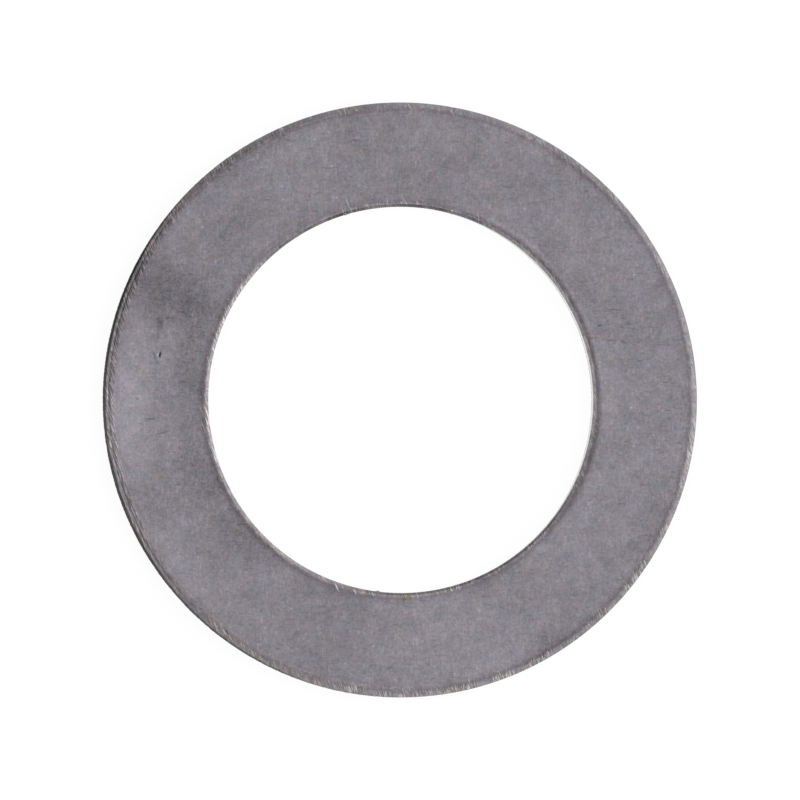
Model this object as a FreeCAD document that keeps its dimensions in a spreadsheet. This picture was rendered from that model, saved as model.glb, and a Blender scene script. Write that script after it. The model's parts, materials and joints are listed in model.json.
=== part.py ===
import FreeCAD
import Part
import Sketcher
import math
import os
import sys

# Shim ring for an 11 mm shaft in a 17 mm seat, blanked from cold-rolled steel strip.
# Outline and bore are sheared in one stroke of a compound die, so both rims have their die
# roll at the upper face, and the burr side, deburred, is the lower face.
# Millimetres, +Z along the ring's axis, origin at the centre of the lower face.

# Driving sizes
DRIVING_SIZES = {
    # the shaft that the ring slides over, and its play there, on the diameter
    "shaft_diameter": 11.0,
    "shaft_play": 0.02,
    # the room between that shaft and the seat that the ring drops into
    "annulus_width": 3.0,
    # its play in the seat, on the diameter
    "seat_play": 0.02,
    # the strip that it is blanked from
    "thickness": 1.0,
    # die roll, where the sheet is drawn down before the shear begins
    "roll_width": 0.16,
    "roll_depth": 0.026,
    # facet that the deburring belt leaves between the die roll and the wall, wider on the outline
    "outline_facet_width": 0.16,
    "outline_facet_depth": 0.07,
    "bore_facet_width": 0.1,
    "bore_facet_depth": 0.05,
    # smooth band of the wall, burnished by the punch
    "burnish_height": 0.34,
    # how far the torn wall below it has drawn back at its foot
    "tear_setback": 0.025,
    # broken edge on the burr side
    "burr_break": 0.04,
}
doc = FreeCAD.newDocument("ShimRing")
sheet = doc.addObject("Spreadsheet::Sheet", "Sizes")
for row, (alias, millimetres) in enumerate(DRIVING_SIZES.items(), start=1):
    sheet.set(f"A{row}", alias)
    sheet.set(f"B{row}", str(millimetres))
    sheet.setAlias(f"B{row}", alias)
doc.recompute()

# The ring's half section, in the upright plane
ring = doc.addObject("PartDesign::Body", "Ring")
ring.Label = "shim_ring"
ring.Placement = FreeCAD.Placement()
section = ring.newObject("Sketcher::SketchObject", "half_section")
upright = next(plane for plane in ring.Origin.OriginFeatures if plane.Role == "XZ_Plane")
section.AttachmentSupport = (upright, [""])
section.MapMode = "FlatFace"

START_INDEX, END_INDEX = 1, 2
ORIGIN_POINT = (-1, START_INDEX)
GROUND_INDEX = -1


def worth(rule):
    """What a rule in the sheet's names comes to, so that a line is drawn near its place."""
    return float(section.evalExpression(rule))


def draw(first, last):
    return section.addGeometry(Part.LineSegment(first, last))


def tie(kind, *ends):
    """A constraint that needs no size."""
    section.addConstraint(Sketcher.Constraint(kind, *ends))


def dimension(name, kind, low, high, rule):
    """The distance from one end out or up to another, driven by the sheet."""
    index = section.addConstraint(Sketcher.Constraint(kind, *low, *high, worth(rule)))
    section.renameConstraint(index, name)
    section.setExpression(f"Constraints.{name}", rule)


def add_rim(name, wall_rule, side):
    """One rim's section, from the flat of the upper face down to the lower face.

    side is 1 on the outline, whose wall faces away from the axis, and -1 in the bore.
    It gives the ends that the two faces run to.
    """
    wall = worth(wall_rule)
    facet_width_rule, facet_depth_rule = f"Sizes.{name}_facet_width", f"Sizes.{name}_facet_depth"
    facet_width, facet_depth = worth(facet_width_rule), worth(facet_depth_rule)
    roll_width, roll_depth = worth("Sizes.roll_width"), worth("Sizes.roll_depth")
    setback, edge_break = worth("Sizes.tear_setback"), worth("Sizes.burr_break")

    facet_top = FreeCAD.Vector(wall - side * facet_width, worth("Sizes.thickness") - roll_depth)
    wall_top = FreeCAD.Vector(wall, facet_top.y - facet_depth)
    tear_top = FreeCAD.Vector(wall, wall_top.y - worth("Sizes.burnish_height"))
    break_top = FreeCAD.Vector(wall - side * setback, edge_break)
    break_foot = FreeCAD.Vector(break_top.x - side * edge_break, 0)
    corners = [facet_top, wall_top, tear_top, break_top, break_foot]
    facet, burnish, tear, broken = [draw(*pair) for pair in zip(corners, corners[1:])]
    for above, below in ((facet, burnish), (burnish, tear), (tear, broken)):
        tie("Coincident", above, END_INDEX, below, START_INDEX)
    tie("Vertical", burnish)

    # The die roll is an arc that leaves the upper face without a corner
    roll_radius = (roll_width**2 + roll_depth**2) / (2 * roll_depth)
    centre = facet_top + FreeCAD.Vector(-side * roll_width, roll_depth - roll_radius)
    turned = math.asin(roll_width / roll_radius)
    circle = Part.Circle(centre, FreeCAD.Vector(0, 0, 1), roll_radius)
    angles = sorted((math.pi / 2, math.pi / 2 - side * turned))
    roll = section.addGeometry(Part.ArcOfCircle(circle, *angles))
    roll_start, roll_end = (END_INDEX, START_INDEX) if side > 0 else (START_INDEX, END_INDEX)
    tie("Coincident", roll, roll_end, facet, START_INDEX)

    def across(part, inboard, outboard, rule):
        low, high = (inboard, outboard) if side > 0 else (outboard, inboard)
        dimension(f"{name}_{part}", "DistanceX", low, high, rule)

    def down(part, upper, lower, rule):
        dimension(f"{name}_{part}", "DistanceY", lower, upper, rule)

    dimension(f"{name}_wall_radius", "DistanceX", ORIGIN_POINT, (burnish, START_INDEX), wall_rule)
    across("roll_width", (roll, roll_start), (roll, roll_end), "Sizes.roll_width")
    down("roll_depth", (roll, roll_start), (roll, roll_end), "Sizes.roll_depth")
    across("facet_width", (facet, START_INDEX), (facet, END_INDEX), facet_width_rule)
    down("facet_depth", (facet, START_INDEX), (facet, END_INDEX), facet_depth_rule)
    down("burnish_height", (burnish, START_INDEX), (burnish, END_INDEX), "Sizes.burnish_height")
    across("tear_setback", (tear, END_INDEX), (tear, START_INDEX), "Sizes.tear_setback")
    across("burr_break_width", (broken, END_INDEX), (broken, START_INDEX), "Sizes.burr_break")
    down("burr_break_height", (broken, START_INDEX), (broken, END_INDEX), "Sizes.burr_break")
    return (roll, roll_start), (broken, END_INDEX)


BORE_RADIUS = "(Sizes.shaft_diameter + Sizes.shaft_play) / 2"
OUTLINE_RADIUS = "Sizes.shaft_diameter / 2 + Sizes.annulus_width - Sizes.seat_play / 2"
bore_top, bore_foot = add_rim("bore", BORE_RADIUS, -1)
outline_top, outline_foot = add_rim("outline", OUTLINE_RADIUS, 1)

# The two faces run from the bore's section to the outline's
upper_face = draw(section.getPoint(*bore_top), section.getPoint(*outline_top))
tie("Tangent", upper_face, START_INDEX, *bore_top)
tie("Tangent", upper_face, END_INDEX, *outline_top)
tie("Horizontal", upper_face)
lower_face = draw(section.getPoint(*bore_foot), section.getPoint(*outline_foot))
tie("Coincident", lower_face, START_INDEX, *bore_foot)
tie("Coincident", lower_face, END_INDEX, *outline_foot)
tie("PointOnObject", *bore_foot, GROUND_INDEX)
tie("PointOnObject", *outline_foot, GROUND_INDEX)
dimension("thickness", "DistanceY", ORIGIN_POINT, (upper_face, START_INDEX), "Sizes.thickness")

# The half section turned once round the ring's axis
turned_ring = ring.newObject("PartDesign::Revolution", "turned_ring")
turned_ring.Profile = section
turned_ring.ReferenceAxis = (section, ["V_Axis"])
turned_ring.Angle = 360
ring.Tip = turned_ring
doc.recompute()

for thing in doc.Objects:
    if {"Invalid", "Error"} & set(thing.State):
        sys.exit(f"{thing.Name} could not be built: {thing.State}")
if not section.FullyConstrained:
    sys.exit("the half section is not fully constrained")
if ring.Shape.isNull() or not ring.Shape.isValid():
    sys.exit(f"{ring.Label} has no valid solid")

os.makedirs("parts", exist_ok=True)
ring.Shape.exportStep(f"parts/{ring.Label}.step")
box = ring.Shape.optimalBoundingBox()
print(f"{ring.Label}: {box.XLength:.3f} x {box.YLength:.3f} x {box.ZLength:.3f} mm,"
      f" {ring.Shape.Volume:.2f} mm3, {len(ring.Shape.Faces)} faces")
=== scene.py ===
import json
import math
import bmesh
import bpy
from mathutils import Matrix, Vector


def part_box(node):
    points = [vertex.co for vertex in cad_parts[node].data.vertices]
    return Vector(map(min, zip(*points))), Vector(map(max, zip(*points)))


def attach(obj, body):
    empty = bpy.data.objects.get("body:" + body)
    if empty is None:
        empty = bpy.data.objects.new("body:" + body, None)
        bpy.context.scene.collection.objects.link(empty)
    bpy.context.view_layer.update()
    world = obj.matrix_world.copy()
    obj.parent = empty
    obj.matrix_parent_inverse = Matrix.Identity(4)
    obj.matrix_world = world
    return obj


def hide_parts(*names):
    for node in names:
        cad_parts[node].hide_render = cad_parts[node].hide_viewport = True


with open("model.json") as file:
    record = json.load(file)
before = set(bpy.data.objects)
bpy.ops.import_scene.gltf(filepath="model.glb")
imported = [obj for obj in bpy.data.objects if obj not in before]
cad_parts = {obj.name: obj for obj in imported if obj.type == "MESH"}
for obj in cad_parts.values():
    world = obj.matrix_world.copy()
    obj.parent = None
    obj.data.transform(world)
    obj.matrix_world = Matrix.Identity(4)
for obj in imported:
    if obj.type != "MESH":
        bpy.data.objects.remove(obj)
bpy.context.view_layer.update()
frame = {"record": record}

# The ring's form. The real one is blanked from cold-rolled steel strip 1 mm thick: the die drew
# the sheet down at both rims, a belt then ground a facet there, and each wall is torn below its
# upper third. It is the half section below, turned once round, with the belt's strokes cut in.
MM = 0.001
low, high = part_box("shim_ring")
THICKNESS = (high.z - low.z) / MM
OUTLINE_RADIUS = (high.x - low.x) / 2 / MM
BORE_RADIUS = next(mount["dims"]["r_mm"] for mount in frame["record"]["mounts"] if mount["name"] == "bore")
MIDDLE_RADIUS = (OUTLINE_RADIUS + BORE_RADIUS) / 2
ROLL_WIDTH, ROLL_DEPTH = 0.16, 0.026
# Each facet's width and depth
OUTLINE_FACET = 0.16, 0.07
BORE_FACET = 0.10, 0.05
BURNISH_HEIGHT = 0.34
TEAR_SETBACK = 0.025
BURR_BREAK = 0.04
# Steps along the die roll and the facet, and how near to them the wall and the face are straight again
ROLL_STEPS, FACET_STEPS = 7, 5
CORNER_HOLD, FACE_HOLD = 0.012, 0.1


def rim_section(wall, side, facet):
    """One rim's points from the upper face down to the lower one: radius, height and zone.

    side is 1 on the outline and -1 in the bore. The zone is below 0 on the upper face and reaches
    1 at the end of the die roll, 2 of the facet, 3 of the burnished wall, 4 of the torn one,
    and 5 at the lower face.
    """
    facet_width, facet_depth = facet
    facet_top = THICKNESS - ROLL_DEPTH
    wall_top = facet_top - facet_depth
    tear_top = wall_top - BURNISH_HEIGHT
    face_end = wall - side * (ROLL_WIDTH + facet_width)
    points = [(face_end - side * FACE_HOLD, THICKNESS, -0.6)]
    roll_radius = (ROLL_WIDTH**2 + ROLL_DEPTH**2) / (2 * ROLL_DEPTH)
    roll_turn = math.asin(ROLL_WIDTH / roll_radius)
    for step in range(ROLL_STEPS + 1):
        angle = roll_turn * step / ROLL_STEPS
        drop = roll_radius * (1 - math.cos(angle))
        points.append((face_end + side * roll_radius * math.sin(angle), THICKNESS - drop, step / ROLL_STEPS))
    for step in range(1, FACET_STEPS + 1):
        share = step / FACET_STEPS
        points.append((wall - side * facet_width * (1 - share), facet_top - facet_depth * share, 1 + share))
    points.append((wall, wall_top - CORNER_HOLD, 2.035))
    points.append((wall, wall_top - BURNISH_HEIGHT / 2, 2.5))
    points.append((wall, tear_top, 3.0))
    for share in (0.4, 1.0):
        height = tear_top + (BURR_BREAK - tear_top) * share
        points.append((wall - side * TEAR_SETBACK * share, height, 3 + share))
    points.append((wall - side * (TEAR_SETBACK + BURR_BREAK), 0.0, 5.0))
    return points


bore_section = rim_section(BORE_RADIUS, -1, BORE_FACET)
outline_section = rim_section(OUTLINE_RADIUS, 1, OUTLINE_FACET)
section_points = bore_section[::-1] + outline_section
count = len(section_points)
# The section is carried round with its own X outwards and its own Y down
corners = [((radius - MIDDLE_RADIUS) * MM, -height * MM, 0.0) for radius, height, zone in section_points]
section_mesh = bpy.data.meshes.new("half_section")
section_mesh.from_pydata(corners, [(index, (index + 1) % count) for index in range(count)], [])
for name, values in (("zone", [zone for radius, height, zone in section_points]),
                     ("outer", [0.0] * len(bore_section) + [1.0] * len(outline_section))):
    section_mesh.attributes.new(name, "FLOAT", "POINT").data.foreach_set("value", values)


def add_node(tree, kind, settings=None, inputs=None):
    """Adds a node with its settings. An input is a value, a socket, or a node whose output feeds it."""
    node = tree.nodes.new(kind)
    for name, value in (settings or {}).items():
        setattr(node, name, value)
    for name, value in (inputs or {}).items():
        if isinstance(value, bpy.types.Node):
            value = next(socket for socket in value.outputs if socket.enabled)
        if isinstance(value, bpy.types.NodeSocket):
            tree.links.new(value, node.inputs[name])
        else:
            node.inputs[name].default_value = value
    return node


# The belt ran across the ring one way, about 19 degrees off the ring's Y axis
STROKE_TURN = math.radians(-19.3)


def belt_noise(tree, place, spacing, length, seed):
    """Parallel strokes of the belt over a place in mm: near 0.5 between them, towards 0 or 1 in one."""
    turned = add_node(tree, "ShaderNodeVectorRotate", {"rotation_type": "Z_AXIS"},
                      {"Vector": place, "Angle": STROKE_TURN})
    drawn_out = add_node(tree, "ShaderNodeVectorMath", {"operation": "MULTIPLY"},
                         {0: turned, 1: (1 / spacing, 1 / length, 0.0)})
    moved = add_node(tree, "ShaderNodeVectorMath", {"operation": "ADD"}, {0: drawn_out, 1: (seed, seed, 0.0)})
    return add_node(tree, "ShaderNodeTexNoise", {"noise_dimensions": "2D"},
                    {"Vector": moved, "Scale": 1.0, "Detail": 1.0, "Roughness": 0.6})


def belt_strokes(tree, place, zone):
    """The strokes with their depth, from -1 to 1, and how far each place was ground, from 0 to 1.

    Each stroke begins at its own distance over the die roll and ends at the facet's foot. They
    come in patches, and are heavier on the ring's left and near side, where the belt bore harder.
    """
    strokes = belt_noise(tree, place, spacing=0.033, length=0.36, seed=4.0)
    value = add_node(tree, "ShaderNodeMapRange", {"clamp": False},
                     {"Value": strokes, "From Min": 0.3, "From Max": 0.7, "To Min": -1.0, "To Max": 1.0})
    reach = belt_noise(tree, place, spacing=0.06, length=1.0, seed=31.0)
    start = add_node(tree, "ShaderNodeMapRange", {"clamp": False},
                     {"Value": reach, "From Min": 0.3, "From Max": 0.7, "To Min": 0.2, "To Max": 1.3})
    beyond = add_node(tree, "ShaderNodeMath", {"operation": "SUBTRACT"}, {0: zone, 1: start})
    begun = add_node(tree, "ShaderNodeMapRange", {"interpolation_type": "SMOOTHSTEP"},
                     {"Value": beyond, "From Min": 0.0, "From Max": 0.3})
    ended = add_node(tree, "ShaderNodeMapRange", {"interpolation_type": "SMOOTHSTEP"},
                     {"Value": zone, "From Min": 2.0, "From Max": 1.9})
    worn = add_node(tree, "ShaderNodeTexNoise", inputs={"Vector": place, "Scale": 1 / 0.9, "Detail": 2.0})
    patchy = add_node(tree, "ShaderNodeMapRange", {"interpolation_type": "SMOOTHSTEP"},
                      {"Value": worn, "From Min": 0.38, "From Max": 0.62, "To Min": 0.22, "To Max": 1.0})
    lean = add_node(tree, "ShaderNodeVectorMath", {"operation": "DOT_PRODUCT"},
                    {0: place, 1: (-0.085, -0.085, 0.0)})
    sided = add_node(tree, "ShaderNodeMapRange",
                     inputs={"Value": lean.outputs["Value"], "From Min": -0.8, "From Max": 0.8,
                             "To Min": 0.45, "To Max": 1.0})
    ground = begun
    for part in (ended, patchy, sided):
        ground = add_node(tree, "ShaderNodeMath", {"operation": "MULTIPLY"}, {0: ground, 1: part})
    return value, ground


turning = bpy.data.node_groups.new("turned_ring", "GeometryNodeTree")
turning.interface.new_socket("Geometry", in_out="OUTPUT", socket_type="NodeSocketGeometry")
turning_inputs = {}
for name, kind in (("Half section", "Geometry"), ("Middle radius", "Float"), ("Steps round", "Int"),
                   ("Stroke depth", "Float"), ("Tear depth", "Float"), ("Face steel", "Material"),
                   ("Outline wall steel", "Material"), ("Bore wall steel", "Material")):
    turning_inputs[name] = turning.interface.new_socket(name, in_out="INPUT", socket_type="NodeSocket" + kind)
given = add_node(turning, "NodeGroupInput")

profile = add_node(turning, "GeometryNodeMeshToCurve", inputs={"Mesh": given.outputs["Half section"]})
path = add_node(turning, "GeometryNodeCurvePrimitiveCircle",
                inputs={"Resolution": given.outputs["Steps round"], "Radius": given.outputs["Middle radius"]})
swept = add_node(turning, "GeometryNodeCurveToMesh", inputs={"Curve": path, "Profile Curve": profile})

# The strokes are cut into the facet and the die roll
position = add_node(turning, "GeometryNodeInputPosition")
place = add_node(turning, "ShaderNodeVectorMath", {"operation": "SCALE"}, {0: position, "Scale": 1 / MM})
zone = add_node(turning, "GeometryNodeInputNamedAttribute", {"data_type": "FLOAT"}, {"Name": "zone"})
outer = add_node(turning, "GeometryNodeInputNamedAttribute", {"data_type": "FLOAT"}, {"Name": "outer"})
strokes, ground = belt_strokes(turning, place, zone)
sunk = add_node(turning, "ShaderNodeMath", {"operation": "SUBTRACT"}, {0: strokes, 1: 0.4})
stroke_cut = add_node(turning, "ShaderNodeMath", {"operation": "MULTIPLY"}, {0: sunk, 1: ground})
stroke_rise = add_node(turning, "ShaderNodeMath", {"operation": "MULTIPLY"},
                       {0: stroke_cut, 1: given.outputs["Stroke depth"]})

# The torn walls are left uneven, in upright streaks: how many to a mm, round the ring and up the wall
STREAKS_ROUND, STREAKS_UP = 18.0, 3.0
upright = add_node(turning, "ShaderNodeVectorMath", {"operation": "MULTIPLY"},
                   {0: place, 1: (STREAKS_ROUND, STREAKS_ROUND, STREAKS_UP)})
tear = add_node(turning, "ShaderNodeTexNoise", inputs={"Vector": upright, "Scale": 1.0, "Detail": 1.0})
tear_height = add_node(turning, "ShaderNodeMath", {"operation": "SUBTRACT"}, {0: tear, 1: 0.6})
tear_begun = add_node(turning, "ShaderNodeMapRange", inputs={"Value": zone, "From Min": 2.4, "From Max": 3.3})
tear_ended = add_node(turning, "ShaderNodeMapRange", inputs={"Value": zone, "From Min": 5.0, "From Max": 4.0})
torn = add_node(turning, "ShaderNodeMath", {"operation": "MULTIPLY"}, {0: tear_begun, 1: tear_ended})
tear_cut = add_node(turning, "ShaderNodeMath", {"operation": "MULTIPLY"}, {0: tear_height, 1: torn})
tear_rise = add_node(turning, "ShaderNodeMath", {"operation": "MULTIPLY"},
                     {0: tear_cut, 1: given.outputs["Tear depth"]})
rise = add_node(turning, "ShaderNodeMath", {"operation": "ADD"}, {0: stroke_rise, 1: tear_rise})
normal = add_node(turning, "GeometryNodeInputNormal")
offset = add_node(turning, "ShaderNodeVectorMath", {"operation": "SCALE"}, {0: normal, "Scale": rise})
uneven = add_node(turning, "GeometryNodeSetPosition", inputs={"Geometry": swept, "Offset": offset})
smooth = add_node(turning, "GeometryNodeSetShadeSmooth", inputs={"Geometry": uneven})
real = add_node(turning, "GeometryNodeRealizeInstances", inputs={"Geometry": smooth})
faced = add_node(turning, "GeometryNodeSetMaterial",
                 inputs={"Geometry": real, "Material": given.outputs["Face steel"]})
below = add_node(turning, "ShaderNodeMath", {"operation": "GREATER_THAN"}, {0: zone, 1: 2.01})
above = add_node(turning, "ShaderNodeMath", {"operation": "LESS_THAN"}, {0: zone, 1: 4.9})
walled = add_node(turning, "ShaderNodeMath", {"operation": "MULTIPLY"}, {0: below, 1: above})
bore_walled = add_node(turning, "GeometryNodeSetMaterial",
                       inputs={"Geometry": faced, "Selection": walled,
                               "Material": given.outputs["Bore wall steel"]})
outer_wall = add_node(turning, "ShaderNodeMath", {"operation": "MULTIPLY"}, {0: walled, 1: outer})
dressed = add_node(turning, "GeometryNodeSetMaterial",
                   inputs={"Geometry": bore_walled, "Selection": outer_wall,
                           "Material": given.outputs["Outline wall steel"]})
add_node(turning, "NodeGroupOutput", inputs={"Geometry": dressed})


# The ring's finish: dull cold-rolled steel with a faint violet grey, cloudy and grainy, paler only
# where the belt has touched it. The die roll is darkened with painted shade, the outline's sheared
# wall is a dark, matt copy of the wall steel as painted shade, and the bore's a bright copy as painted light.
def linear(code):
    """An sRGB hex colour as linear red, green, blue and alpha."""
    channels = [int(code[start:start + 2], 16) / 255 for start in (0, 2, 4)]
    return [c / 12.92 if c <= 0.04045 else ((c + 0.055) / 1.055) ** 2.4 for c in channels] + [1.0]


steel = bpy.data.materials.new("cold_rolled_steel")
steel.use_nodes = True
finish = steel.node_tree
shader = finish.nodes["Principled BSDF"]
shader.inputs["Metallic"].default_value = 1.0
shader.inputs["Roughness"].default_value = 0.5

coordinates = add_node(finish, "ShaderNodeTexCoord")
place_mm = add_node(finish, "ShaderNodeMapping",
                    inputs={"Vector": coordinates.outputs["Object"], "Scale": (1 / MM, 1 / MM, 1 / MM)})
zone = add_node(finish, "ShaderNodeAttribute", {"attribute_name": "zone"}).outputs["Fac"]
outer = add_node(finish, "ShaderNodeAttribute", {"attribute_name": "outer"}).outputs["Fac"]

# Tone by zone, in the bore and on the outline: face, die roll, facet and lower face. The die roll's
# darker tone is painted shade on its slope, and the facet's paler one is ground metal. The edge of
# each wanders, over 0.22 mm. The ramps hold half of each tone, because they end at 1
wander = add_node(finish, "ShaderNodeTexNoise", inputs={"Vector": place_mm, "Scale": 1 / 0.22, "Detail": 2.0})
shift = add_node(finish, "ShaderNodeMapRange", {"clamp": False},
                 {"Value": wander, "To Min": -0.4, "To Max": 0.4})
wandering = add_node(finish, "ShaderNodeMath", {"operation": "ADD"}, {0: zone, 1: shift})
FIRST_ZONE, LAST_ZONE = -1.0, 6.0
zone_share = add_node(finish, "ShaderNodeMapRange",
                      inputs={"Value": wandering, "From Min": FIRST_ZONE, "From Max": LAST_ZONE})
rim_tones = []
for stops in (((-0.5, 1.0), (0.05, 0.86), (0.45, 0.66), (0.8, 0.7), (1.05, 0.95), (1.8, 1.08), (2.1, 1.15),
               (2.9, 1.1), (3.1, 0.8), (4.0, 0.7), (5.0, 0.95)),
              ((-0.4, 1.0), (0.2, 0.9), (0.6, 0.7), (0.95, 0.68), (1.25, 0.98), (1.9, 1.06), (5.0, 0.95))):
    ramp = add_node(finish, "ShaderNodeValToRGB", inputs={"Fac": zone_share})
    elements = ramp.color_ramp.elements
    for stop, stop_tone in stops:
        stop_share = (stop - FIRST_ZONE) / (LAST_ZONE - FIRST_ZONE)
        elements.new(stop_share).color = (stop_tone / 2, stop_tone / 2, stop_tone / 2, 1.0)
    elements.remove(elements[-1])
    elements.remove(elements[0])
    rim_tones.append(ramp)
half_tone = add_node(finish, "ShaderNodeMix", {"data_type": "FLOAT"},
                     {"Factor": outer, 2: rim_tones[0], 3: rim_tones[1]})
rim_change = add_node(finish, "ShaderNodeMath", {"operation": "MULTIPLY_ADD"},
                      {0: half_tone, 1: 2.0, 2: -1.0})

# Painted light and shade round the rims: some tones hold only towards one side of the ring
flat_place = add_node(finish, "ShaderNodeVectorMath", {"operation": "MULTIPLY"},
                      {0: place_mm, 1: (1.0, 1.0, 0.0)})
outward = add_node(finish, "ShaderNodeVectorMath", {"operation": "NORMALIZE"}, {0: flat_place})


def towards_side(angle, nothing_at, all_at):
    """1 up to all_at degrees from one side, an angle from +X, fading to 0 at nothing_at degrees."""
    side = (math.cos(math.radians(angle)), math.sin(math.radians(angle)), 0.0)
    facing = add_node(finish, "ShaderNodeVectorMath", {"operation": "DOT_PRODUCT"}, {0: outward, 1: side})
    return add_node(finish, "ShaderNodeMapRange", {"interpolation_type": "SMOOTHSTEP"},
                    {"Value": facing.outputs["Value"], "From Min": math.cos(math.radians(nothing_at)),
                     "From Max": math.cos(math.radians(all_at))})


def within_zone(start, full):
    """0 up to one zone of the rim, rising to 1 at another. A start past the full one falls instead."""
    return add_node(finish, "ShaderNodeMapRange", {"interpolation_type": "SMOOTHSTEP"},
                    {"Value": zone, "From Min": start, "From Max": full})


def product(*parts):
    """All of the parts, numbers or nodes, multiplied."""
    result = parts[0]
    for part in parts[1:]:
        result = add_node(finish, "ShaderNodeMath", {"operation": "MULTIPLY"}, {0: result, 1: part})
    return result


sided_light_and_shade = 0.0
inner = add_node(finish, "ShaderNodeMath", {"operation": "SUBTRACT"}, {0: 1.0, 1: outer})
roll = product(within_zone(-0.15, 0.4), within_zone(1.3, 0.95))
# The bore's painted shade line breaks off here and there, every 0.45 mm or so
gaps = add_node(finish, "ShaderNodeTexNoise", inputs={"Vector": place_mm, "Scale": 1 / 0.45, "Detail": 1.0})
broken = add_node(finish, "ShaderNodeMapRange",
                  inputs={"Value": gaps, "From Min": 0.42, "From Max": 0.56, "To Min": 0.4})
for parts, strength in (
        # painted light: the outline's die roll is paler at the near left, at the far side and a little at the
        # near side
        ((roll, outer, towards_side(-135, 58, 25)), 0.27), ((roll, outer, towards_side(97, 48, 12)), 0.19),
        ((roll, outer, towards_side(165, 45, 15)), 0.12), ((roll, outer, towards_side(-85, 25, 5)), 0.07),
        # painted light: the bore's die roll is paler at the far side and the near one, and narrower at the
        # far right
        ((roll, inner, towards_side(100, 50, 25)), 0.18), ((roll, inner, towards_side(-75, 50, 20)), 0.2),
        ((within_zone(-0.6, 0.0), within_zone(0.75, 0.45), inner, towards_side(38, 45, 22)), 0.25),
        # the outline's facet has a painted highlight line at the left, under a wider roll, painted shade at
        # the far left, and a painted shadow at its foot beside the dark wall at both
        ((within_zone(1.26, 1.36), within_zone(1.6, 1.5), outer, towards_side(183, 38, 18)), 0.45),
        ((within_zone(0.9, 1.0), within_zone(1.36, 1.26), outer, towards_side(183, 50, 30)), -0.25),
        ((within_zone(0.95, 1.25), outer, towards_side(135, 50, 25)), -0.22),
        ((within_zone(1.68, 1.82), outer, towards_side(177, 46, 22)), -0.7),
        ((within_zone(1.68, 1.85), outer, towards_side(228, 26, 10)), -0.5),
        # a painted shade line runs along the bore's edge at the far side and at the near right
        ((within_zone(1.05, 1.3), inner, towards_side(99, 42, 22), broken), -0.62),
        ((within_zone(1.2, 1.42), inner, towards_side(-65, 42, 25)), -0.47),
        # painted highlight on the bore's facet, brightest at its left, and at its right a little
        ((within_zone(0.95, 1.35), inner, towards_side(187, 70, 35)), 0.32),
        ((within_zone(1.0, 1.25), inner, towards_side(19, 43, 22)), 0.45)):
    sided_light_and_shade = add_node(finish, "ShaderNodeMath", {"operation": "MULTIPLY_ADD"},
                            {0: product(*parts), 1: strength, 2: sided_light_and_shade})
# None of this reaches the walls and the lower face
even_rim = add_node(finish, "ShaderNodeMath", {"operation": "ADD"}, {0: 1.0, 1: rim_change})
rim_tone = add_node(finish, "ShaderNodeMath", {"operation": "MULTIPLY_ADD"},
                    {0: sided_light_and_shade, 1: within_zone(2.6, 2.1), 2: even_rim})

# Clouds of 3 mm, and grain from 0.6 mm down to 0.07 mm, about the finest that the render shows
clouds = add_node(finish, "ShaderNodeTexNoise", inputs={"Vector": place_mm, "Scale": 1 / 3.0, "Detail": 1.0})
cloud_tone = add_node(finish, "ShaderNodeMapRange", {"clamp": False},
                      {"Value": clouds, "To Min": 0.8, "To Max": 1.2})
coarse = add_node(finish, "ShaderNodeTexNoise",
                  inputs={"Vector": place_mm, "Scale": 1 / 0.6, "Detail": 3.0, "Roughness": 1.0})
coarse_tone = add_node(finish, "ShaderNodeMapRange", {"clamp": False},
                       {"Value": coarse, "To Min": 0.62, "To Max": 1.38})
fine = add_node(finish, "ShaderNodeTexNoise",
                inputs={"Vector": place_mm, "Scale": 1 / 0.07, "Detail": 1.0, "Roughness": 1.0})
fine_tone = add_node(finish, "ShaderNodeMapRange", {"clamp": False},
                     {"Value": fine, "To Min": 0.68, "To Max": 1.32})

# Short dark dashes left by the mill, 0.28 by 0.06 mm and almost along the ring's X axis, faint pale
# lines across them, 0.055 by 0.35 mm, and bright specks 0.24 mm apart
level = add_node(finish, "ShaderNodeVectorMath", {"operation": "MULTIPLY"},
                 {0: place_mm, 1: (1 / 0.28, 1 / 0.06, 1.0)})
dashes = add_node(finish, "ShaderNodeTexNoise",
                  inputs={"Vector": level, "Scale": 1.0, "Detail": 1.0, "Distortion": 0.6})
dash_tone = add_node(finish, "ShaderNodeMapRange",
                     inputs={"Value": dashes, "From Min": 0.25, "From Max": 0.4,
                             "To Min": 0.79, "To Max": 1.008})
drawn = add_node(finish, "ShaderNodeVectorMath", {"operation": "MULTIPLY"},
                 {0: place_mm, 1: (1 / 0.055, 1 / 0.35, 1.0)})
lines = add_node(finish, "ShaderNodeTexNoise", inputs={"Vector": drawn, "Scale": 1.0, "Detail": 1.0})
line_tone = add_node(finish, "ShaderNodeMapRange",
                     inputs={"Value": lines, "From Min": 0.5, "From Max": 0.75,
                             "To Min": 0.965, "To Max": 1.13})
specks = add_node(finish, "ShaderNodeTexVoronoi", inputs={"Vector": place_mm, "Scale": 1 / 0.24})
speck_tone = add_node(finish, "ShaderNodeMapRange",
                      inputs={"Value": specks.outputs["Distance"], "From Min": 0.06, "From Max": 0.16,
                              "To Min": 1.3, "To Max": 1.0})

# Where the belt has ground it, the strokes are bright and dark, partly the ground metal's own streaks
# and partly painted glints along them, and the metal is less violet
strokes, ground = belt_strokes(finish, place_mm, zone)
stroke_and_glint_tone = add_node(finish, "ShaderNodeMapRange", {"interpolation_type": "SMOOTHSTEP"},
                       {"Value": strokes, "From Min": -0.2, "From Max": 0.6, "To Min": -0.32, "To Max": 1.0})
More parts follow.
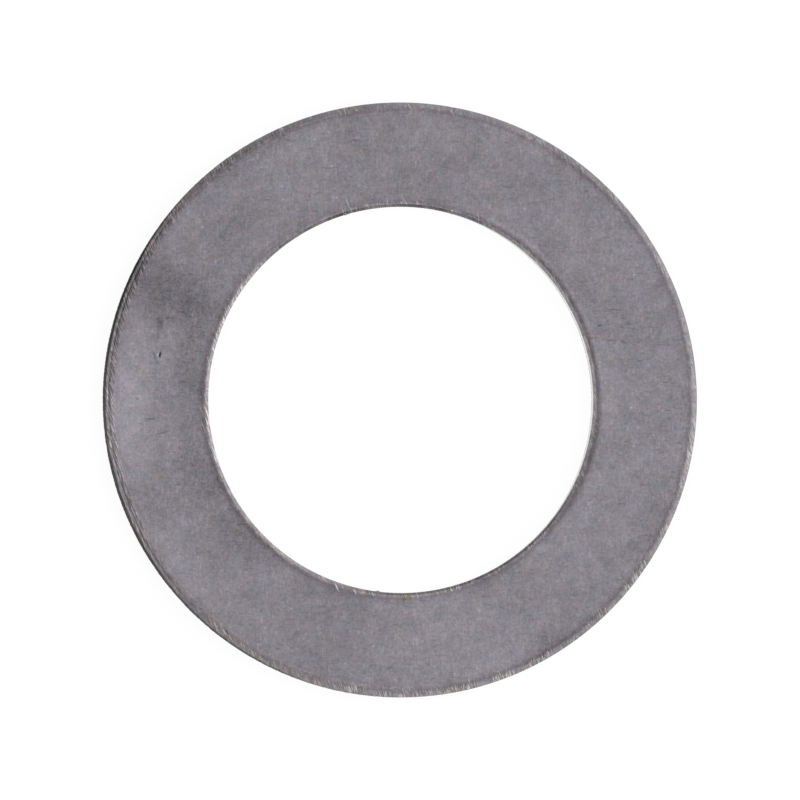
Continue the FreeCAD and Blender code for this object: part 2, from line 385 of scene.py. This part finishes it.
# At the outline's left they are single strokes across the dark roll, and at its near left they are
# faint between the heavy ones that are listed below
single = product(within_zone(0.1, 0.5), within_zone(1.8, 1.3), outer, towards_side(180, 50, 28), 0.8)
stroked = add_node(finish, "ShaderNodeMath", {"operation": "MAXIMUM"}, {0: ground, 1: single})
faint = add_node(finish, "ShaderNodeMath", {"operation": "MULTIPLY_ADD"},
                 {0: towards_side(-127, 30, 14), 1: -0.6, 2: 1.0})
stroked_and_glint_tone = add_node(finish, "ShaderNodeMath", {"operation": "MULTIPLY_ADD"},
                        {0: stroke_and_glint_tone, 1: product(stroked, faint), 2: 1.0})


def add_mark(marks_and_painted_light, x, y, length, width, angle, strength, depth=0.2, core=0.35):
    """Adds a soft oval mark, in mm and degrees, that makes the ring lighter or darker by its strength.

    depth is how far it goes into the ring from the upper face, and core its share that is even.
    """
    within = add_node(finish, "ShaderNodeMapping", {"vector_type": "TEXTURE"},
                      {"Vector": place_mm, "Location": (x, y, THICKNESS),
                       "Rotation": (0.0, 0.0, math.radians(angle)), "Scale": (length / 2, width / 2, depth)})
    inside = add_node(finish, "ShaderNodeTexGradient", {"gradient_type": "SPHERICAL"}, {"Vector": within})
    share = add_node(finish, "ShaderNodeMapRange", {"interpolation_type": "SMOOTHSTEP"},
                     {"Value": inside.outputs["Fac"], "From Min": 0.0, "From Max": 1.0 - core})
    return add_node(finish, "ShaderNodeMath", {"operation": "MULTIPLY_ADD"},
                    {0: share, 1: strength, 2: marks_and_painted_light})


marks_and_painted_light = 0.0

# Broad patches of the face, painted light and shade: a pale one at its left, dark ones inside and above it
for x, y, length, width, angle, strength in (
        (-7.75, -0.3, 6.8, 2.0, 88, 0.25), (-5.9, 0.9, 4.6, 1.9, 88, -0.26),
        (-5.5, -2.2, 4.4, 1.8, -68, -0.22), (-6.3, 2.95, 4.8, 2.7, 155, -0.37),
        (-4.4, -4.1, 3.4, 1.7, -45, -0.17), (5.9, 0.3, 4.0, 1.2, 90, 0.12),
        (-5.0, 4.6, 3.4, 2.6, 50, -0.12), (-6.4, -2.2, 3.0, 2.6, -70, -0.12),
        (-4.1, 7.1, 6.0, 1.1, 30, -0.15), (7.2, -3.4, 4.2, 1.6, 65, -0.18),
        (4.3, -6.9, 3.4, 1.2, 30, -0.14), (1.2, -6.6, 7.0, 3.0, 5, 0.07),
        (3.6, 6.4, 5.0, 2.4, -30, -0.04), (5.5, -3.6, 4.0, 2.4, 60, 0.06),
        (-6.5, -4.6, 6.0, 1.5, -55, 0.17)):
    marks_and_painted_light = add_mark(marks_and_painted_light, x, y, length, width, angle, strength, depth=1.0, core=0.0)

# The pit at the left, with painted shade in its hollow, painted highlights on its flanks, and the smudges
# round it
PIT = (-6.903, 1.273)
PIT_ANGLE = 75
for x, y, length, width, angle, strength in (
        (*PIT, 0.21, 0.075, PIT_ANGLE, -1.0), (-6.965, 1.295, 0.14, 0.055, PIT_ANGLE, 0.7),
        (-6.842, 1.275, 0.14, 0.05, PIT_ANGLE, 0.3), (-7.05, 1.24, 0.42, 0.1, -76, -0.28),
        (-6.95, 1.03, 0.24, 0.1, -45, -0.28), (-6.9, 2.16, 0.62, 0.24, 87, -0.26),
        (-6.98, 1.76, 0.42, 0.22, 80, -0.14)):
    marks_and_painted_light = add_mark(marks_and_painted_light, x, y, length, width, angle, strength)

# Dark dashes and scores that stand out
for x, y, length, width, angle, strength in (
        (-7.2, -0.555, 0.48, 0.055, 2, -0.42), (-7.55, 0.02, 0.13, 0.06, 0, -0.4),
        (-6.88, -0.96, 0.85, 0.05, 16, -0.28), (6.05, 1.71, 0.5, 0.06, -3, -0.32),
        (6.38, 1.66, 0.24, 0.06, -30, -0.3), (7.55, 0.514, 0.34, 0.06, 0, -0.26),
        (7.85, -0.22, 0.5, 0.06, -8, -0.3), (7.4, -0.12, 0.3, 0.06, 14, -0.26),
        (6.46, -1.19, 0.28, 0.05, 0, -0.24), (5.68, 2.13, 0.22, 0.07, 4, -0.42),
        (5.92, 2.15, 0.3, 0.055, 8, -0.25), (6.33, 2.09, 0.22, 0.06, -28, -0.3),
        (6.15, 2.58, 0.75, 0.065, -3, -0.28), (7.07, 2.34, 0.28, 0.05, -10, -0.22),
        (6.83, 1.12, 0.28, 0.06, 12, -0.28), (-1.35, 7.4, 0.5, 0.06, 5, -0.2),
        (2.95, 6.1, 0.45, 0.06, -8, -0.2), (-3.9, 5.7, 0.5, 0.06, 4, -0.24)):
    marks_and_painted_light = add_mark(marks_and_painted_light, x, y, length, width, angle, strength)

# Light scratches and specks that stand out
for x, y, length, width, angle, strength in (
        (-1.87, 6.78, 1.3, 0.045, 90, 0.2), (-1.53, 5.62, 0.46, 0.055, -72, 0.7),
        (-1.98, 6.67, 0.11, 0.055, 90, 0.8), (0.57, 6.72, 0.22, 0.05, 90, 0.25),
        (0.46, 7.15, 0.07, 0.06, 0, 0.4), (2.42, 7.83, 0.13, 0.055, 80, 0.45),
        (-1.21, 6.11, 0.14, 0.055, 88, 0.3), (-1.06, 6.94, 0.07, 0.07, 0, 0.3),
        (-3.99, -6.29, 0.32, 0.055, 86, 0.4), (-3.57, -6.66, 0.22, 0.05, -60, 0.3),
        (-2.92, -6.54, 0.1, 0.07, 0, 0.3), (-2.73, -6.68, 0.1, 0.07, 0, 0.35),
        (5.81, 3.43, 0.3, 0.05, -50, 0.2), (6.04, -0.63, 0.15, 0.05, -60, 0.25),
        (-0.79, -7.03, 0.15, 0.055, 45, 0.5), (0.61, -6.91, 0.18, 0.055, 60, 0.4),
        (-0.17, -7.98, 0.17, 0.055, -50, 0.35), (-1.46, -6.6, 0.07, 0.07, 0, 0.3),
        (1.26, -6.74, 0.07, 0.06, 0, 0.3), (-0.93, -6.45, 0.16, 0.05, 80, 0.25),
        (0.96, -7.61, 0.08, 0.07, 0, 0.3), (6.6, -0.21, 0.09, 0.07, 0, 0.7),
        (6.67, -1.31, 0.08, 0.07, 0, 0.4), (7.24, -0.99, 0.1, 0.06, 30, 0.4),
        (6.99, 0.565, 0.08, 0.07, 0, 0.35), (5.85, 0.49, 0.08, 0.07, 0, 0.3),
        (6.45, -1.59, 0.08, 0.06, 0, 0.35), (6.58, -2.04, 0.08, 0.06, 0, 0.4),
        (6.15, 1.56, 0.08, 0.06, 0, 0.25)):
    marks_and_painted_light = add_mark(marks_and_painted_light, x, y, length, width, angle, strength)

# Single heavy strokes and nicks along the rims, and the outline's left corner, painted as glints, some with
# painted shade beside them
for x, y, length, width, angle, strength in (
        (-1.276, 8.275, 0.16, 0.055, -65, 0.7), (-0.65, 8.39, 0.16, 0.05, -70, 0.5),
        (-0.46, 8.39, 0.16, 0.05, -70, 0.45), (0.76, 8.39, 0.12, 0.05, -70, 0.4),
        (1.44, 8.24, 0.25, 0.05, -60, 0.6), (1.5, 8.28, 0.18, 0.05, -60, -0.6),
        (-1.01, 5.56, 0.12, 0.06, -70, 0.8), (0.474, 5.62, 0.17, 0.06, -75, 0.9),
        (0.61, 5.7, 0.13, 0.05, -70, 0.4), (-1.585, 5.31, 0.07, 0.06, 0, 1.6),
        (1.47, 5.4, 0.07, 0.06, 0, 1.6), (-1.84, -5.34, 0.32, 0.06, -66, 1.5),
        (-1.32, -5.47, 0.24, 0.06, -62, 1.3), (-0.81, -5.54, 0.2, 0.055, -60, 1.1),
        (1.06, -5.53, 0.17, 0.05, -65, 0.7), (5.1, -2.14, 0.07, 0.07, 0, 1.2),
        (5.57, -0.86, 0.22, 0.045, -42, 0.6), (5.61, -0.68, 0.2, 0.04, -45, 0.5),
        (5.53, -1.03, 0.2, 0.04, -50, 0.5), (-8.4, 0.2, 0.5, 0.045, 90, 1.0),
        (-0.35, -5.85, 0.3, 0.045, -75, 0.2), (-5.786, -6.029, 0.3, 0.045, -63, 0.6),
        (-5.305, -6.437, 0.28, 0.05, -67, 0.7), (-5.042, -6.642, 0.26, 0.05, -65, 1.0),
        (-4.98, -6.64, 0.26, 0.05, -65, -0.5), (-4.882, -6.788, 0.26, 0.045, -63, 0.8),
        (-4.83, -6.8, 0.24, 0.045, -63, -0.35), (-4.255, -7.224, 0.26, 0.05, -61, 0.9),
        (-4.31, -7.2, 0.22, 0.05, -61, -0.45), (-4.02, -7.37, 0.22, 0.045, -60, 0.7),
        (-3.96, -7.34, 0.2, 0.045, -60, -0.45), (-3.785, -7.544, 0.14, 0.05, -60, 0.5),
        (-2.923, -7.863, 0.18, 0.05, -70, 0.6), (-2.442, -8.037, 0.16, 0.05, -65, 0.6),
        (-2.36, -8.04, 0.16, 0.045, -65, 0.5)):
    marks_and_painted_light = add_mark(marks_and_painted_light, x, y, length, width, angle, strength, depth=0.15)

even_tone = product(rim_tone, cloud_tone, coarse_tone, fine_tone, dash_tone, line_tone, speck_tone,
                    stroked_and_glint_tone)
# The marks bring painted light and shade as well as the real dashes, scratches and specks
marked_and_painted_light_tone = add_node(finish, "ShaderNodeMath", {"operation": "ADD"}, {0: even_tone, 1: marks_and_painted_light})
tone = add_node(finish, "ShaderNodeMath", {"operation": "MAXIMUM"}, {0: marked_and_painted_light_tone, 1: 0.1})

# Faint warm and cool patches over the violet grey, and the paler, warmer grey of ground metal
tints = add_node(finish, "ShaderNodeTexNoise", inputs={"Vector": place_mm, "Scale": 1 / 0.33, "Detail": 2.0})
tinted = add_node(finish, "ShaderNodeMapRange", {"data_type": "FLOAT_VECTOR", "clamp": False},
                  {6: tints.outputs["Color"], 9: (0.87, 1.0, 0.9), 10: (1.15, 1.0, 1.12)})
rolled = add_node(finish, "ShaderNodeMix", {"data_type": "RGBA"},
                  {"Factor": roll, 6: linear("747176"), 7: linear("757076")})
metal = add_node(finish, "ShaderNodeMix", {"data_type": "RGBA"},
                 {"Factor": ground, 6: rolled.outputs[2], 7: linear("7a7573")})
# A brownish stain is left at the bore's near edge
stain = add_mark(0.0, 0.115, -5.7, 0.8, 0.22, 2, 0.65)
stained = add_node(finish, "ShaderNodeMix", {"data_type": "RGBA"},
                   {"Factor": stain, 6: metal.outputs[2], 7: linear("70685a")})
coloured = add_node(finish, "ShaderNodeVectorMath", {"operation": "MULTIPLY"},
                    {0: tinted.outputs["Vector"], 1: stained.outputs[2]})
toned = add_node(finish, "ShaderNodeVectorMath", {"operation": "SCALE"}, {0: coloured, "Scale": tone})
finish.links.new(toned.outputs[0], shader.inputs["Base Color"])

# The two walls, each rubbed smooth over its upper third and torn below, in upright streaks. They are
# shaded and lit copies of one steel: the outline's is dark, and darker still at a glancing angle, as
# painted shade, and the bore's is bright as painted light
wall_steels = []
for name, burnished, torn_off, streak_range, roughness_range, glancing in (
        ("shaded_outline_wall_steel", "726e6c", "524f4e", (0.7, 1.35), (0.58, 0.68), "0a0909"),
        ("lit_bore_wall_steel", "d6d3d0", "b8b5b3", (0.88, 1.12), (0.22, 0.26), "ffffff")):
    wall_steel = bpy.data.materials.new(name)
    wall_steel.use_nodes = True
    sheared = wall_steel.node_tree
    wall_shader = sheared.nodes["Principled BSDF"]
    wall_shader.inputs["Metallic"].default_value = 1.0
    # The outline's dark tint at a glancing angle is painted shade
    wall_shader.inputs["Specular Tint"].default_value = linear(glancing)
    coordinates = add_node(sheared, "ShaderNodeTexCoord")
    streaks_at = add_node(sheared, "ShaderNodeVectorMath", {"operation": "MULTIPLY"},
                          {0: coordinates.outputs["Object"],
                           1: (STREAKS_ROUND / MM, STREAKS_ROUND / MM, STREAKS_UP / MM)})
    streaks = add_node(sheared, "ShaderNodeTexNoise",
                       inputs={"Vector": streaks_at, "Scale": 1.0, "Detail": 2.0})
    streak_tone = add_node(sheared, "ShaderNodeMapRange",
                           inputs={"Value": streaks, "From Min": 0.3, "From Max": 0.7,
                                   "To Min": streak_range[0], "To Max": streak_range[1]})
    # The tear begins at the end of the burnished zone, along a ragged line
    wall_zone = add_node(sheared, "ShaderNodeAttribute", {"attribute_name": "zone"}).outputs["Fac"]
    ragged = add_node(sheared, "ShaderNodeMapRange",
                      inputs={"Value": streaks, "To Min": -0.35, "To Max": 0.35})
    ragged_zone = add_node(sheared, "ShaderNodeMath", {"operation": "ADD"}, {0: wall_zone, 1: ragged})
    torn_share = add_node(sheared, "ShaderNodeMapRange",
                          inputs={"Value": ragged_zone, "From Min": 2.9, "From Max": 3.1})
    colour = add_node(sheared, "ShaderNodeMix", {"data_type": "RGBA"},
                      {"Factor": torn_share, 6: linear(burnished), 7: linear(torn_off)})
    streaked = add_node(sheared, "ShaderNodeVectorMath", {"operation": "SCALE"},
                        {0: colour.outputs[2], "Scale": streak_tone})
    sheared.links.new(streaked.outputs[0], wall_shader.inputs["Base Color"])
    matted = add_node(sheared, "ShaderNodeMapRange",
                      inputs={"Value": torn_share, "To Min": roughness_range[0],
                              "To Max": roughness_range[1]})
    sheared.links.new(matted.outputs[0], wall_shader.inputs["Roughness"])
    wall_steels.append(wall_steel)

# The ring is turned in steps of 0.02 mm, fine enough for the strokes
STEPS_ROUND = 2400
STROKE_DEPTH = 0.004
TEAR_DEPTH = 0.03
ring = bpy.data.objects.new("steel_ring", section_mesh)
bpy.context.scene.collection.objects.link(ring)
turned = ring.modifiers.new("turning", "NODES")
turned.node_group = turning
for name, value in (("Middle radius", MIDDLE_RADIUS * MM), ("Steps round", STEPS_ROUND),
                    ("Stroke depth", STROKE_DEPTH * MM), ("Tear depth", TEAR_DEPTH * MM),
                    ("Face steel", steel), ("Outline wall steel", wall_steels[0]),
                    ("Bore wall steel", wall_steels[1])):
    turned[turning_inputs[name].identifier] = value
bpy.context.view_layer.update()
ring_mesh = bpy.data.meshes.new_from_object(ring.evaluated_get(bpy.context.evaluated_depsgraph_get()))
ring.modifiers.clear()
ring.data = ring_mesh

# The pit is formed in the mesh, which is first divided finely across the face there. Its lip stands
# proud, 1.8 times as far out as its edge
PIT_DEPTH, LIP_HEIGHT, LIP_AT = 0.03, 0.005, 1.8
PIT_HALF_LENGTH, PIT_HALF_WIDTH = 0.075, 0.03
PIT_REACH = 0.25
FACE_CUTS = 90
form = bmesh.new()
form.from_mesh(ring_mesh)
pit_at = Vector((*PIT, THICKNESS)) * MM
pit_across = Vector((-PIT[1], PIT[0], 0)).normalized()
face_edges = [edge for edge in form.edges
              if edge.calc_length() > 2 * MM
              and min(vertex.co.z for vertex in edge.verts) > THICKNESS * MM / 2
              and abs((edge.verts[0].co - pit_at).dot(pit_across)) < PIT_REACH * MM
              and edge.verts[0].co.dot(pit_at) > 0]
bmesh.ops.subdivide_edges(form, edges=face_edges, cuts=FACE_CUTS, use_grid_fill=True)
pit_turn = Matrix.Rotation(math.radians(-PIT_ANGLE), 3, "Z")
for vertex in form.verts:
    if (vertex.co - pit_at).length < PIT_REACH * MM:
        across_pit = pit_turn @ (vertex.co - pit_at) / MM
        away = math.hypot(across_pit.x / PIT_HALF_LENGTH, across_pit.y / PIT_HALF_WIDTH)
        lip = LIP_HEIGHT * math.exp(-(away - LIP_AT)**2 * 3)
        vertex.co.z -= (PIT_DEPTH * math.exp(-away**2) - lip) * MM

# Burrs and nicks are pushed out of the rims or into them, at the facet's level
BUMP_DROP = 0.09
for x, y, reach, height in ((-0.66, -5.47, 0.05, -0.03), (-1.585, 5.28, 0.03, -0.015),
                            (1.47, 5.33, 0.03, -0.015), (1.47, 8.36, 0.035, -0.02), (5.1, -2.11, 0.03, 0.02)):
    bump_at = Vector((x, y, THICKNESS - BUMP_DROP)) * MM
    for vertex in form.verts:
        away = (vertex.co - bump_at).length / MM / reach
        if away < 3:
            outward = Vector((vertex.co.x, vertex.co.y, 0)).normalized()
            vertex.co += outward * height * MM * math.exp(-away**2)
form.to_mesh(ring_mesh)
form.free()
CRISP_FROM = math.radians(35)
ring_mesh.set_sharp_from_angle(angle=CRISP_FROM)
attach(ring, "root")
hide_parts("shim_ring")

# The table that the ring lies on: a plain white sheet under soft studio light, a hair below the
# ring's lower face so that the two don't meet in one plane
TABLE_REACH = 6.0
TABLE_DROP = 1e-5
floor_mesh = bpy.data.meshes.new("white_table")
floor_mesh.from_pydata([(-TABLE_REACH, -TABLE_REACH, -TABLE_DROP), (TABLE_REACH, -TABLE_REACH, -TABLE_DROP),
                        (TABLE_REACH, TABLE_REACH, -TABLE_DROP), (-TABLE_REACH, TABLE_REACH, -TABLE_DROP)],
                       [], [(0, 1, 2, 3)])
floor = bpy.data.objects.new("white_table", floor_mesh)
bpy.context.scene.collection.objects.link(floor)


def seen_rays(tree):
    """1 where the camera looks, straight, in a mirror or through glass, and 0 where light falls."""
    rays = add_node(tree, "ShaderNodeLightPath")
    either = add_node(tree, "ShaderNodeMath", {"operation": "MAXIMUM"},
                      {0: rays.outputs["Is Camera Ray"], 1: rays.outputs["Is Glossy Ray"]})
    return add_node(tree, "ShaderNodeMath", {"operation": "MAXIMUM"},
                    {0: either, 1: rays.outputs["Is Transmission Ray"]})


# Matt white paper. Where it is seen it shows plain white, but for a tenth, which holds the ring's shadow
paper = bpy.data.materials.new("white_paper")
paper.use_nodes = True
sheet = paper.node_tree
sheet.nodes.clear()
matt = add_node(sheet, "ShaderNodeBsdfDiffuse", inputs={"Color": linear("f2f2f2")})
glow = add_node(sheet, "ShaderNodeEmission", inputs={"Color": (1.0, 1.0, 1.0, 1.0), "Strength": 1.02})
glow_share = add_node(sheet, "ShaderNodeMath", {"operation": "MULTIPLY"}, {0: seen_rays(sheet), 1: 0.9})
shown = add_node(sheet, "ShaderNodeMixShader", inputs={"Fac": glow_share, 1: matt, 2: glow})
add_node(sheet, "ShaderNodeOutputMaterial", inputs={"Surface": shown})
floor_mesh.materials.append(paper)

world = bpy.data.worlds.new("studio")
bpy.context.scene.world = world
world.use_nodes = True
studio = world.node_tree
studio.nodes.clear()
strength = add_node(studio, "ShaderNodeMapRange",
                    inputs={"Value": seen_rays(studio), "To Min": 0.9, "To Max": 1.0})
white = add_node(studio, "ShaderNodeBackground", inputs={"Color": (1.0, 1.0, 1.0, 1.0), "Strength": strength})
add_node(studio, "ShaderNodeOutputWorld", inputs={"Surface": white})

for name, lamp_place, width, height, power in (("softbox_above", (0.22, -0.05, 0.9), 0.4, 0.4, 0.97),
                                               ("softbox_right", (0.66, 0.03, 0.42), 0.8, 0.35, 2.3),
                                               ("softbox_far", (0.15, 0.62, 0.5), 0.8, 0.35, 1.0),
                                               ("softbox_near", (0.15, -0.62, 0.5), 0.8, 0.35, 1.0)):
    lamp = bpy.data.lights.new(name, "AREA")
    lamp.shape = "RECTANGLE"
    lamp.size = width
    lamp.size_y = height
    lamp.energy = power
    stand = bpy.data.objects.new(name, lamp)
    stand.location = lamp_place
    stand.rotation_euler = Vector(lamp_place).to_track_quat("Z", "Y").to_euler()
    stand.visible_camera = False
    bpy.context.scene.collection.objects.link(stand)

# The camera stands 0.9 m off, leaning 5 degrees to the left of the ring's axis
CAMERA_DISTANCE = 0.9
CAMERA_LEAN = math.radians(5.0)
CAMERA_SIDE = math.radians(192)
FRAME_WIDTH = 22.825 * MM
SENSOR_WIDTH = 36.0
aim = Vector((-0.029 * MM, -0.005 * MM, high.z))
towards = Vector((math.sin(CAMERA_LEAN) * math.cos(CAMERA_SIDE),
                  math.sin(CAMERA_LEAN) * math.sin(CAMERA_SIDE), math.cos(CAMERA_LEAN)))
camera_data = bpy.data.cameras.new("photo_camera")
camera_data.sensor_width = SENSOR_WIDTH
camera_data.lens = SENSOR_WIDTH * CAMERA_DISTANCE / FRAME_WIDTH
camera_data.clip_start = 0.01
camera_data.clip_end = 30.0
camera = bpy.data.objects.new("photo_camera", camera_data)
camera.location = aim + towards * CAMERA_DISTANCE
across = Vector((0.0, 1.0, 0.0)).cross(towards).normalized()
upward = towards.cross(across)
camera.rotation_euler = Matrix((across, upward, towards)).transposed().to_euler()
bpy.context.scene.collection.objects.link(camera)
bpy.context.scene.camera = camera
bpy.context.scene.view_settings.view_transform = "Standard"
